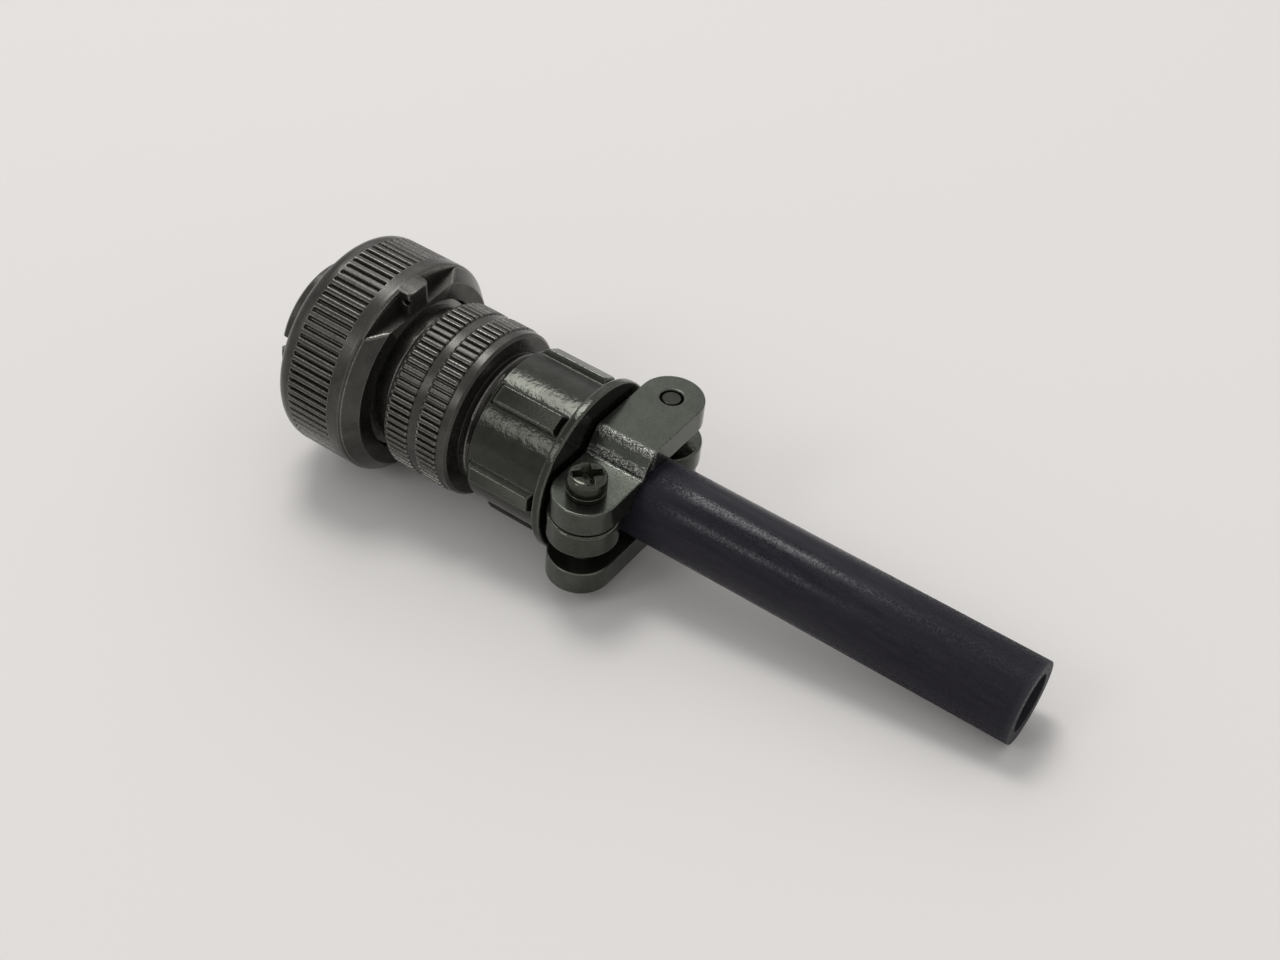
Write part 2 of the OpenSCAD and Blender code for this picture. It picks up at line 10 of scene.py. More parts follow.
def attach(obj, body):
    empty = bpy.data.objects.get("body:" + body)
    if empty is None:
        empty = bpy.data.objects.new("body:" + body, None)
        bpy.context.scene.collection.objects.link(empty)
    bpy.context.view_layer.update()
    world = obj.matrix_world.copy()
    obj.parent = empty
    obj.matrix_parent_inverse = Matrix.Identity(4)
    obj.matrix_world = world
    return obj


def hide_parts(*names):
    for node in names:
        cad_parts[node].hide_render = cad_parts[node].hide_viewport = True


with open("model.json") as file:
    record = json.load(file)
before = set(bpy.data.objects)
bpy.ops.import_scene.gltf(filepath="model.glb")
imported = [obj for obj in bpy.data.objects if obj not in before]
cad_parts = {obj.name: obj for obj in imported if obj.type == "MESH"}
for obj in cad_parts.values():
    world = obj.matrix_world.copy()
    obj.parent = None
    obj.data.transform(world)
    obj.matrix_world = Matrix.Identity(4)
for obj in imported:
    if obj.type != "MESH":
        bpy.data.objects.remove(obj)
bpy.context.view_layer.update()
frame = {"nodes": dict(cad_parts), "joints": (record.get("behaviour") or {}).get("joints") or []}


# PLUG SHELL. A turned aluminium tube with an olive plated finish: the mating barrel with its keyway
# in front, a collar that stops the nut, and a thread at the rear that the end bell screws onto.

# Every piece is made in millimetres round the x axis and then laid in the frame: x is the station
# along the plug from the clamp's rear face towards the mating rim, y is sideways and z is up. The
# coupling nut's joint gives the axis and one known station on it.
millimetre = 0.001
spin_station = 30.65  # the joint stands in the middle of the nut's inner wall
spin = next(joint for joint in frame["joints"] if joint["name"] == "nut_spin")
forward = Vector(spin["axis"]).normalized()
sideways = Vector((0, 1, 0))
upward = forward.cross(sideways)
axis_start = Vector(spin["pos_m"]) - forward * spin_station * millimetre
turn_to_frame = Matrix((forward, sideways, upward)).transposed().to_4x4()
to_frame = Matrix.Translation(axis_start) @ turn_to_frame @ Matrix.Scale(millimetre, 4)
full_turn = 2 * math.pi
half_turn = math.pi
quarter_turn = math.pi / 2


def rounded(corners, steps=4):
    """Points of a closed outline whose corners, each (across, along, fillet), are eased by a curve."""
    points = []
    for i, (across, along, fillet) in enumerate(corners):
        here = Vector((across, along))
        if not fillet:
            points.append(here)
            continue
        before = Vector(corners[i - 1][:2]) - here
        after = Vector(corners[(i + 1) % len(corners)][:2]) - here
        start = here + before.normalized() * min(fillet, before.length / 2)
        end = here + after.normalized() * min(fillet, after.length / 2)
        for step in range(steps + 1):
            t = step / steps
            points.append(start * (1 - t) ** 2 + here * 2 * t * (1 - t) + end * t ** 2)
    return points


def stretch(radius, start, end, count):
    """Evenly spaced corners along a plain stretch, for a pattern to be cut into."""
    return [(radius, station, 0) for station in np.linspace(start, end, count)]


def closed(mesh):
    """Merges a mesh's doubled points and turns its faces outwards."""
    work = bmesh.new()
    work.from_mesh(mesh)
    bmesh.ops.remove_doubles(work, verts=work.verts, dist=1e-5)
    bmesh.ops.dissolve_degenerate(work, edges=work.edges, dist=1e-6)
    bmesh.ops.recalc_face_normals(work, faces=work.faces)
    work.to_mesh(mesh)
    work.free()
    return mesh


def skinned(name, rings, all_round=False):
    """A closed mesh over rings of equally many points, capped at both ends unless it goes all round."""
    count = len(rings[0])
    total = len(rings) * count
    faces = []
    if not all_round:
        faces = [tuple(range(count)), tuple(range(total - count, total))]
    for here in range(0, total if all_round else total - count, count):
        there = (here + count) % total
        for i in range(count):
            j = (i + 1) % count
            faces.append((here + i, there + i, there + j, here + j))
    mesh = bpy.data.meshes.new(name)
    mesh.from_pydata([point for ring in rings for point in ring], [], faces)
    return closed(mesh)


def turned(name, section, segments):
    """A closed section of (radius, station) points turned round the axis."""
    rings = []
    for step in range(segments):
        angle = step * full_turn / segments
        cosine, sine = math.cos(angle), math.sin(angle)
        rings.append([(station, cosine * radius, sine * radius) for radius, station in section])
    return skinned(name, rings, all_round=True)


def prism(name, outline, low, high, upright):
    """An outline drawn in two axes and drawn out along the third, which upright names."""
    order = {"x": (2, 0, 1), "y": (0, 2, 1), "z": (0, 1, 2)}[upright]
    rings = []
    for level in (low, high):
        flat = [(u, v, level) for u, v in outline]
        rings.append([tuple(point[i] for i in order) for point in flat])
    return skinned(name, rings)


def held(mesh):
    """An object that holds a mesh while modifiers work on it."""
    holder = bpy.data.objects.new(mesh.name, mesh)
    bpy.context.scene.collection.objects.link(holder)
    return holder


def baked(holder):
    """The plain mesh that a holder's modifiers make; the holder is taken away."""
    graph = bpy.context.evaluated_depsgraph_get()
    mesh = bpy.data.meshes.new_from_object(holder.evaluated_get(graph))
    bpy.data.objects.remove(holder)
    return mesh


def carved(mesh, cutter, operation="DIFFERENCE"):
    """A mesh after a boolean with a cutter."""
    holder = held(mesh)
    tool = held(cutter)
    boolean = holder.modifiers.new("carve", "BOOLEAN")
    boolean.operation = operation
    boolean.solver = "EXACT"
    boolean.object = tool
    result = baked(holder)
    bpy.data.objects.remove(tool)
    return result


def dressed(name, mesh, finish, place=Matrix.Identity(4)):
    """A finished piece, laid in the frame. Each point stores its place in the piece's own millimetres
    and how sharply the surface bends there, for the finish to read."""
    crease = math.radians(42)
    work = bmesh.new()
    work.from_mesh(mesh)
    bend = np.zeros(len(work.verts))
    for edge in work.edges:
        angle = edge.calc_face_angle_signed(0)
        for vert in edge.verts:
            if abs(angle) > abs(bend[vert.index]):
                bend[vert.index] = angle
    work.free()
    spots = np.empty(len(mesh.vertices) * 3, np.float32)
    mesh.vertices.foreach_get("co", spots)
    mesh.attributes.new("own_mm", "FLOAT_VECTOR", "POINT").data.foreach_set("vector", spots)
    mesh.attributes.new("edge_bend", "FLOAT", "POINT").data.foreach_set("value", bend)
    mesh.shade_smooth()
    mesh.set_sharp_from_angle(angle=crease)
    holder = held(mesh)
    holder.modifiers.new("flat faces stay flat", "WEIGHTED_NORMAL").keep_sharp = True
    mesh = baked(holder)
    mesh.transform(to_frame @ place)
    mesh.materials.clear()
    mesh.materials.append(finish)
    piece = bpy.data.objects.new(name, mesh)
    bpy.context.scene.collection.objects.link(piece)
    return piece


def add(tree, kind, *inputs, **settings):
    """A new node of a tree; inputs are values or links in the order of its sockets."""
    node = tree.nodes.new(kind)
    for setting, value in settings.items():
        setattr(node, setting, value)
    for socket, value in zip(node.inputs, inputs):
        if isinstance(value, bpy.types.NodeSocket):
            tree.links.new(value, socket)
        elif value is not None:
            socket.default_value = value
    return node


def calc(tree, operation, *inputs):
    """The result of a math node."""
    return add(tree, "ShaderNodeMath", *inputs, operation=operation).outputs[0]


def share(tree, value, low, high):
    """0 at low, 1 at high, even in between and clamped beyond them."""
    return add(tree, "ShaderNodeMapRange", value, low, high, 0.0, 1.0, clamp=True).outputs[0]


def noise(tree, where, scale, detail, roughness, on_line=False):
    """A cloudy pattern of 0 to 1, in space or along a line."""
    place = (None, where) if on_line else (where, None)
    dimensions = "1D" if on_line else "3D"
    cloud = add(tree, "ShaderNodeTexNoise", *place, scale, detail, roughness, noise_dimensions=dimensions)
    return cloud.outputs[0]


def mixed(tree, factor, first, second):
    """A colour between two colours."""
    node = tree.nodes.new("ShaderNodeMix")
    node.data_type = "RGBA"
    colour_sockets = (node.inputs[0], node.inputs[6], node.inputs[7])
    for socket, value in zip(colour_sockets, (factor, first, second)):
        if isinstance(value, bpy.types.NodeSocket):
            tree.links.new(value, socket)
        else:
            socket.default_value = value
    return node.outputs[2]


def tinted(colour, factor=1.0):
    """A colour made darker or lighter."""
    return (*(min(1.0, factor * part) for part in colour), 1.0)


def new_material(name):
    """An empty node material, with its tree and its surface shader."""
    material = bpy.data.materials.new(name)
    material.use_nodes = True
    tree = material.node_tree
    return material, tree, tree.nodes["Principled BSDF"]


def stored(tree, name, output):
    """What a dressed piece stores at its points."""
    return add(tree, "ShaderNodeAttribute", attribute_name=name).outputs[output]


def coated(tree, surface, tone, rough, height, strength, depth):
    """Gives a surface its colour, its roughness and a relief, whose depth is in millimetres."""
    bump = add(tree, "ShaderNodeBump")
    bump.inputs["Strength"].default_value = strength
    bump.inputs["Distance"].default_value = depth * millimetre
    tree.links.new(height, bump.inputs["Height"])
    tree.links.new(tone, surface.inputs["Base Color"])
    tree.links.new(rough, surface.inputs["Roughness"])
    tree.links.new(bump.outputs[0], surface.inputs["Normal"])


def olive_plating(name, base, roughness, rings, grain, corner_shade):
    """Olive plating on metal: faint mottling, turning rings or cast grain, outer edges lightened partly
    as wear and partly as painted highlight, and inner corners darkened as painted shade."""
    dark_tint, worn_and_highlit_tint, corner_shade_tint = 0.62, 3.6, 0.3
    worn_and_highlit_from, worn_and_highlit_full, worn_and_highlit_cover = 0.13, 0.36, 0.75
    corner_shade_from, corner_shade_full = -0.15, -0.5
    flecking = 0.12
    fine_grain = 0.08
    ring_gloss = 0.2
    material, tree, surface = new_material(name)
    own = stored(tree, "own_mm", "Vector")
    bend = stored(tree, "edge_bend", "Fac")
    station = add(tree, "ShaderNodeSeparateXYZ", own).outputs["X"]
    cloud = noise(tree, own, scale=0.45, detail=5.0, roughness=0.6)
    pebble = noise(tree, own, scale=1.3, detail=3.0, roughness=0.55)
    speck = noise(tree, own, scale=7.0, detail=3.0, roughness=0.65)
    ring = noise(tree, station, scale=9.0, detail=2.0, roughness=0.7, on_line=True)
    # painted highlight: outer edges, where the surface bends outwards, are lightened, partly as real wear
    # and partly to stand in for the bright lines that light draws along the plated edges
    worn_and_highlit = calc(tree, "MULTIPLY", share(tree, bend, worn_and_highlit_from, worn_and_highlit_full), share(tree, speck, 0.34, 0.6))
    # painted shade: inner corners, where the surface bends inwards, are darkened to stand in for the
    # shade that falls in creases and round the pads
    corner_shaded = share(tree, bend, corner_shade_from, corner_shade_full)
    tone = mixed(tree, share(tree, cloud, 0.3, 0.7), tinted(base, dark_tint), tinted(base))
    tone = mixed(tree, calc(tree, "MULTIPLY", worn_and_highlit, worn_and_highlit_cover), tone, tinted(base, worn_and_highlit_tint))
    tone = mixed(tree, calc(tree, "MULTIPLY", corner_shaded, corner_shade), tone, tinted(base, corner_shade_tint))
    rough = calc(tree, "MULTIPLY_ADD", speck, flecking, roughness - flecking / 2)
    rough = calc(tree, "MULTIPLY_ADD", ring, rings * ring_gloss, rough)
    grains = calc(tree, "MULTIPLY_ADD", speck, fine_grain * grain, calc(tree, "MULTIPLY", pebble, grain))
    height = calc(tree, "MULTIPLY_ADD", ring, rings, grains)
    coated(tree, surface, tone, rough, height, strength=0.6, depth=0.05)
    surface.inputs["Metallic"].default_value = 0.85
    return material


def new_tree(name, sizes):
    """A geometry tree with a mesh, named sizes and a finish going in, and a mesh coming out."""
    tree = bpy.data.node_groups.new(name, "GeometryNodeTree")
    tree.interface.new_socket("Mesh", in_out="INPUT", socket_type="NodeSocketGeometry")
    for size in sizes:
        tree.interface.new_socket(size, in_out="INPUT", socket_type="NodeSocketFloat")
    tree.interface.new_socket("Finish", in_out="INPUT", socket_type="NodeSocketMaterial")
    tree.interface.new_socket("Mesh", in_out="OUTPUT", socket_type="NodeSocketGeometry")
    return tree, tree.nodes.new("NodeGroupInput").outputs


def end_tree(tree, geometry, given):
    """The tree's end: plain geometry with its finish."""
    plain = add(tree, "GeometryNodeRealizeInstances", geometry)
    finished = add(tree, "GeometryNodeSetMaterial", plain.outputs[0], None, given["Finish"])
    add(tree, "NodeGroupOutput", finished.outputs[0])
    return tree


def grown(mesh, tree, finish, sizes):
    """A mesh after a geometry tree, run with these sizes."""
    holder = held(mesh)
    modifier = holder.modifiers.new(tree.name, "NODES")
    modifier.node_group = tree
    for item in tree.interface.items_tree:
        if item.in_out == "INPUT" and item.name in sizes:
            modifier[item.identifier] = float(sizes[item.name])
        elif item.name == "Finish":
            modifier[item.identifier] = finish
    return baked(holder)


def radius_tree(name, sizes, rule):
    """A tree that gives points on a round surface a new radius by a rule of station and angle."""
    tree, given = new_tree(name, sizes)
    place = add(tree, "ShaderNodeSeparateXYZ", add(tree, "GeometryNodeInputPosition").outputs[0]).outputs
    square = [calc(tree, "MULTIPLY", place[axis], place[axis]) for axis in ("Y", "Z")]
    radius = calc(tree, "SQRT", calc(tree, "ADD", *square))
    turns = calc(tree, "DIVIDE", calc(tree, "ARCTAN2", place["Z"], place["Y"]), full_turn)
    factor = calc(tree, "DIVIDE", rule(tree, given, place["X"], radius, turns), radius)
    scaled = [calc(tree, "MULTIPLY", place[axis], factor) for axis in ("Y", "Z")]
    target = add(tree, "ShaderNodeCombineXYZ", place["X"], *scaled).outputs[0]
    moved = add(tree, "GeometryNodeSetPosition", given["Mesh"], None, target)
    return end_tree(tree, moved.outputs[0], given)


def between_ends(tree, given, station):
    """1 between Start and End, falling to 0 in a quarter round over the run-out at each."""
    before = calc(tree, "SUBTRACT", station, given["Start"])
    after = calc(tree, "SUBTRACT", given["End"], station)
    inside = calc(tree, "DIVIDE", calc(tree, "MINIMUM", before, after), given["Run-out"])
    missing = calc(tree, "SUBTRACT", 1.0, share(tree, inside, 0.0, 1.0))
    return calc(tree, "SQRT", calc(tree, "SUBTRACT", 1.0, calc(tree, "MULTIPLY", missing, missing)))


def cut_by(tree, given, station, radius, pattern):
    """The radius of points on the given surface after a cut of Depth times a pattern of 0 to 1."""
    near_enough = 0.12
    on_surface = calc(tree, "COMPARE", radius, given["Surface Radius"], near_enough)
    depth = calc(tree, "MULTIPLY", calc(tree, "MULTIPLY", given["Depth"], pattern), on_surface)
    depth = calc(tree, "MULTIPLY", depth, between_ends(tree, given, station))
    return calc(tree, "SUBTRACT", radius, depth)


def thread_rule(tree, given, station, radius, turns):
    """A right-hand thread; its flat roots and crests are shares of the pitch."""
    half_root, crest_from = 0.08, 0.42
    phase = calc(tree, "SUBTRACT", calc(tree, "DIVIDE", station, given["Pitch"]), turns)
    off_root = calc(tree, "ABSOLUTE", calc(tree, "SUBTRACT", calc(tree, "FRACT", phase), 0.5))
    return cut_by(tree, given, station, radius, share(tree, off_root, crest_from, half_root))


cut_sizes = ("Surface Radius", "Depth", "Start", "End", "Run-out")
thread_tree = radius_tree("thread", (*cut_sizes, "Pitch"), thread_rule)
turned_olive = olive_plating(
    "turned_olive", (0.078, 0.075, 0.068), roughness=0.26, rings=0.2, grain=0.08, corner_shade=0.0)

barrel_r = 9.35
front_bore_r = 7.9
rear_bore_r = 8.5
rim = 43.15
rim_chamfer = 0.4
shell_rear = 16.0
stop_r = 10.35
stop_rear = 32.65
stop_len = 1.8
stop_front = stop_rear + stop_len
ring_groove_r = 8.9
ring_groove_rear = 27.7
ring_groove_front = 28.7
inner_groove_r = 8.95
inner_groove_rear = 23.27
inner_groove_front = 24.245
keyway_w = 1.8
keyway_len = 6.5
keyway_foot_r = front_bore_r - 0.6
keyway_angle = math.radians(15)
shell_thread_end = 25.6
shell_thread_lead = 0.3
shell_thread_rows = 74
shell_thread_depth = 0.5
shell_pitch = 1.27
overshoot = 1.0  # how far a cutter stands past what it cuts

shell = turned("plug_shell", rounded([
    (front_bore_r, rim, 0.2),
    (barrel_r - rim_chamfer, rim, 0.12),
    (barrel_r, rim - rim_chamfer, 0.15),
    (barrel_r, stop_front, 0.1),
    (stop_r, stop_front, 0.15),
    (stop_r, stop_rear, 0.15),
    (barrel_r, stop_rear, 0.05),
    (barrel_r, ring_groove_front, 0.05),
    (ring_groove_r, ring_groove_front, 0),
    (ring_groove_r, ring_groove_rear, 0),
    (barrel_r, ring_groove_rear, 0.05),
    *stretch(barrel_r, shell_thread_end, shell_rear + shell_thread_lead, shell_thread_rows),
    (barrel_r, shell_rear, 0.15),
    (rear_bore_r, shell_rear, 0.1),
    (rear_bore_r, inner_groove_rear, 0),
    (inner_groove_r, inner_groove_rear, 0),
    (inner_groove_r, inner_groove_front, 0),
    (rear_bore_r, inner_groove_front, 0),
    (rear_bore_r, stop_rear, 0),
    (front_bore_r, stop_rear, 0.05),
]), segments=120)
keyway = prism("keyway", [
    (keyway_foot_r, -keyway_w / 2),
    (2 * barrel_r, -keyway_w / 2),
    (2 * barrel_r, keyway_w / 2),
    (keyway_foot_r, keyway_w / 2),
], rim - keyway_len, rim + overshoot, "x")
keyway.transform(Matrix.Rotation(keyway_angle, 4, "X"))
shell = carved(shell, keyway)
shell = grown(shell, thread_tree, turned_olive, {
    "Surface Radius": barrel_r,
    "Depth": shell_thread_depth,
    "Start": shell_rear,
    "End": shell_thread_end,
    "Run-out": 0.6,
    "Pitch": shell_pitch,
})
shell = dressed("shell", shell, turned_olive)
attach(shell, "plug")
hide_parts("plug_shell")


# INSERTS AND CONTACTS. Two moulded discs of dark green plastic hold six turned socket contacts, and
# sprung steel rings keep the insert in the shell and the nut on it. Only the front face is ever seen,
# so it is made again with eased, countersunk pin holes, and the rest stays as it is in the frame.
def plain_finish(name, colour, metallic, roughness, scale):
    """A finish with a faint unevenness, on Object coordinates; scale is in clouds a millimetre."""
    unevenness = 0.2
    dark_tint = 0.75
    material, tree, surface = new_material(name)
    where = add(tree, "ShaderNodeTexCoord").outputs["Object"]
    cloud = noise(tree, where, scale / millimetre, detail=4.0, roughness=0.6)
    rough = calc(tree, "MULTIPLY_ADD", cloud, unevenness, roughness - unevenness / 2)
    tone = mixed(tree, cloud, tinted(colour, dark_tint), tinted(colour))
    tree.links.new(tone, surface.inputs["Base Color"])
    tree.links.new(rough, surface.inputs["Roughness"])
    surface.inputs["Metallic"].default_value = metallic
    return material


def joined(name, meshes):
    """Several closed meshes as one."""
    work = bmesh.new()
    for mesh in meshes:
        work.from_mesh(mesh)
    result = bpy.data.meshes.new(name)
    work.to_mesh(result)
    work.free()
    return result


insert_plastic = plain_finish(
    "insert_plastic", (0.030, 0.052, 0.042), metallic=0, roughness=0.42, scale=0.8)
contact_gold = plain_finish("contact_gold", (0.72, 0.56, 0.26), metallic=1, roughness=0.28, scale=1.5)
spring_steel = plain_finish("spring_steel", (0.48, 0.47, 0.45), metallic=1, roughness=0.34, scale=2.0)

insert_face = 42.35
insert_ledge = 32.57
insert_split = 29.77
insert_r = 7.82
insert_flange_r = 8.42
hole_r = 1.05
hole_chamfer = 0.25
cavity_r = 1.33
cavity_front = 41.05
contact_ring_r = 4.29
ring_contacts = 5
first_contact = math.radians(90)

insert = turned("front_insert", rounded([
    (0, insert_face, 0),
    (insert_r, insert_face, 0.4),
    (insert_r, insert_ledge, 0),
    (insert_flange_r, insert_ledge, 0.15),
    (insert_flange_r, insert_split, 0.1),
    (0, insert_split, 0),
]), segments=120)
hole = turned("pin_hole", [
    (0, insert_split - overshoot),
    (cavity_r, insert_split - overshoot),
    (cavity_r, cavity_front),
    (hole_r, cavity_front),
    (hole_r, insert_face - hole_chamfer),
    (hole_r + 2 * hole_chamfer, insert_face + hole_chamfer),
    (0, insert_face + hole_chamfer),
], segments=32)
places = [(0, 0)]
for i in range(ring_contacts):
    angle = first_contact + i * full_turn / ring_contacts
    places.append((contact_ring_r * math.cos(angle), contact_ring_r * math.sin(angle)))
holes = []
for y, z in places:
    copy = hole.copy()
    copy.transform(Matrix.Translation((0, y, z)))
    holes.append(copy)
insert = carved(insert, joined("pin_holes", holes))
insert = dressed("insert_front", insert, insert_plastic)
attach(insert, "plug")
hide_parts("front_insert")

carried = {
    "rear_insert": insert_plastic,
    "nut_retaining_ring": spring_steel,
    "insert_retaining_ring": spring_steel,
    **{f"contact_{letter}": contact_gold for letter in "abcdef"},
}
for name, finish in carried.items():
    mesh = frame["nodes"][name].data
    mesh.materials.clear()
    mesh.materials.append(finish)


# COUPLING NUT. Turned from aluminium bar, straight-knurled, with a rounded nose and a thread inside.
# Its tapered collar is milled flat on two opposite sides, and each flat keeps a drilled lock-wire tab.
def knurl_rule(tree, given, station, radius, turns):
    """Straight flutes between flat-topped bars; their floors and mouths are shares of a flute's width."""
    half_floor, half_mouth = 0.14, 0.26
    across = calc(tree, "FRACT", calc(tree, "MULTIPLY", turns, given["Flutes"]))
    off_middle = calc(tree, "ABSOLUTE", calc(tree, "SUBTRACT", across, 0.5))
    return cut_by(tree, given, station, radius, share(tree, off_middle, half_mouth, half_floor))


def flats_rule(tree, given, station, radius, turns):
    """Flats round the axis, from the collar's rear to End."""
    step = calc(tree, "DIVIDE", 1.0, given["Count"])
    along = calc(tree, "SUBTRACT", turns, given["First Turn"])
    nearest = calc(tree, "SNAP", calc(tree, "ADD", along, calc(tree, "MULTIPLY", step, 0.5)), step)
    off_middle = calc(tree, "MULTIPLY", calc(tree, "SUBTRACT", along, nearest), full_turn)
    flat = calc(tree, "DIVIDE", given["Flat Radius"], calc(tree, "COSINE", off_middle))
    on_collar = calc(tree, "LESS_THAN", station, given["End"])
    drop = calc(tree, "MAXIMUM", calc(tree, "SUBTRACT", radius, flat), 0.0)
    return calc(tree, "SUBTRACT", radius, calc(tree, "MULTIPLY", drop, on_collar))


def ring_tree():
    """A tree that repeats a mesh evenly round the axis."""
    tree, given = new_tree("copies_round_the_axis", ("Count", "First Turn"))
    index = add(tree, "GeometryNodeInputIndex").outputs[0]
    part = calc(tree, "ADD", given["First Turn"], calc(tree, "DIVIDE", index, given["Count"]))
    euler = add(tree, "ShaderNodeCombineXYZ", calc(tree, "MULTIPLY", part, full_turn)).outputs[0]
    spots = add(tree, "GeometryNodePoints", given["Count"]).outputs[0]
    copies = add(tree, "GeometryNodeInstanceOnPoints", spots)
    tree.links.new(given["Mesh"], copies.inputs["Instance"])
    turn = add(tree, "FunctionNodeEulerToRotation", euler).outputs[0]
    tree.links.new(turn, copies.inputs["Rotation"])
    return end_tree(tree, copies.outputs[0], given)


def arc(x, y, radius, start, end, steps):
    """Points of an arc round (x, y), between two angles."""
    angles = np.linspace(start, end, steps + 1)
    return [(x + radius * math.cos(angle), y + radius * math.sin(angle)) for angle in angles]


def rod(radius, low, high, segments=96):
    """A cylinder on the plug's axis, as a cutter."""
    return turned("rod", [(0, low), (radius, low), (radius, high), (0, high)], segments)


def eased(mesh, width, sharper_than=35):
    """A mesh with its sharp edges rounded off."""
    holder = held(mesh)
    bevel = holder.modifiers.new("ease", "BEVEL")
    bevel.width = width
    bevel.segments = 4
    bevel.limit_method = "ANGLE"
    bevel.angle_limit = math.radians(sharper_than)
    bevel.use_clamp_overlap = False
    return baked(holder)


knurl_tree = radius_tree("straight_knurl", (*cut_sizes, "Flutes"), knurl_rule)
flats_tree = radius_tree("milled_flats", ("Flat Radius", "Count", "First Turn", "End"), flats_rule)
copies_tree = ring_tree()
points_per_flute = 12

nut_r = 14.5
nut_collar = 26.85
nut_shoulder = 28.95
nut_knurl = 30.65
nut_nose = 37.35
nut_front = 39.25
nose_r = 12.9
nose_points = 15
nut_knurl_end = nut_nose - 0.4
nut_flutes = 76
nut_flute_depth = 0.5
nut_runout = 0.45
runout_rows = 6
row_gap = 0.08
collar_r = 12.7
flat_r = 11.25
flat_len = 1.8
flat_end = nut_collar + flat_len
flat_end_r = collar_r + (nut_r - collar_r) * flat_len / (nut_shoulder - nut_collar)
flat_step = 0.001  # two rows this close to the flat's end keep that end upright
nut_wall_rear = 28.85
nut_wall_front = 32.45
nut_bore_r = 9.41
ring_seat_r = 10.5
nut_thread_r = 10.6
nut_thread_rear = nut_wall_front + 1.4
nut_thread_rows = 34
nut_thread_depth = 0.4
nut_relief = 0.45
nut_pitch = 1.27

collar_rows = [
    (collar_r + (flat_end_r - collar_r) * t, nut_collar + flat_len * t, 0)
    for t in np.linspace(0.15, 0.9, 6)
]
nose = [
    (nose_r + (nut_r - nose_r) * math.cos(angle), nut_nose + (nut_front - nut_nose) * math.sin(angle), 0)
    for angle in np.linspace(0, quarter_turn, nose_points)
]
nut = turned("coupling_nut", rounded([
    (ring_seat_r, nut_collar, 0.1),
    (collar_r, nut_collar, 0.15),
    *collar_rows,
    (flat_end_r, flat_end - flat_step, 0),
    (flat_end_r, flat_end + flat_step, 0),
    (nut_r, nut_shoulder, 0.4),
    (nut_r, nut_knurl - row_gap, 0),
    *stretch(nut_r, nut_knurl, nut_knurl + nut_runout, runout_rows),
    (nut_r, nut_knurl + nut_runout + row_gap, 0),
    (nut_r, nut_knurl_end - nut_runout - row_gap, 0),
    *stretch(nut_r, nut_knurl_end - nut_runout, nut_knurl_end, runout_rows),
    (nut_r, nut_knurl_end + row_gap, 0),
    *nose,
    (nut_thread_r + nut_relief, nut_front, 0.1),
    *stretch(nut_thread_r, nut_front - nut_relief, nut_thread_rear + nut_relief, nut_thread_rows),
    (nut_thread_r + nut_relief, nut_thread_rear, 0),
    (nut_thread_r + nut_relief, nut_wall_front, 0),
    (nut_bore_r, nut_wall_front, 0),
    (nut_bore_r, nut_wall_rear, 0),
    (ring_seat_r, nut_wall_rear, 0),
]), segments=nut_flutes * points_per_flute)

tab_count = 2
tab_turn = 86 / 360
tab_w = 3.6
tab_corner = flat_len / 2
tab_corner_x = nut_collar + tab_corner
tab_corner_y = tab_w / 2 - tab_corner
tab_root = nut_shoulder + 0.3
tab_foot_r = flat_r - 0.2
tab_top_r = nut_r - 0.05
wire_hole_r = 0.45
nut = grown(nut, flats_tree, turned_olive, {
    "Flat Radius": flat_r,
    "Count": tab_count,
    "First Turn": tab_turn,
    "End": flat_end,
})
nut = grown(nut, knurl_tree, turned_olive, {
    "Surface Radius": nut_r,
    "Depth": nut_flute_depth,
    "Start": nut_knurl,
    "End": nut_knurl_end,
    "Run-out": nut_runout,
    "Flutes": nut_flutes,
})
nut = grown(nut, thread_tree, turned_olive, {
    "Surface Radius": nut_thread_r,
    "Depth": -nut_thread_depth,
    "Start": nut_thread_rear,
    "End": nut_front,
    "Run-out": 0.5,
    "Pitch": nut_pitch,
})

tab = prism("tab", [
    (tab_root, -tab_w / 2),
    (tab_root, tab_w / 2),
    *arc(tab_corner_x, tab_corner_y, tab_corner, quarter_turn, half_turn, steps=8),
    *arc(tab_corner_x, -tab_corner_y, tab_corner, half_turn, 3 * quarter_turn, steps=8),
], tab_foot_r, nut_r + overshoot, "y")
tab_top = rod(tab_top_r, nut_collar - overshoot, nut_shoulder + overshoot, segments=180)
tab = carved(tab, tab_top, "INTERSECT")
wire_hole = rod(wire_hole_r, -tab_w, tab_w, segments=24)
wire_hole.transform(Matrix.Rotation(-quarter_turn, 4, "Y"))
wire_hole.transform(Matrix.Translation((nut_collar + flat_len / 2, (flat_r + nut_r) / 2, 0)))
tab = eased(carved(tab, wire_hole), width=0.14)
tabs = grown(tab, copies_tree, turned_olive, {"Count": tab_count, "First Turn": tab_turn})
nut = dressed("nut", joined("coupling_nut", [nut, tabs]), turned_olive)
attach(nut, "nut")
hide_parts("coupling_nut")


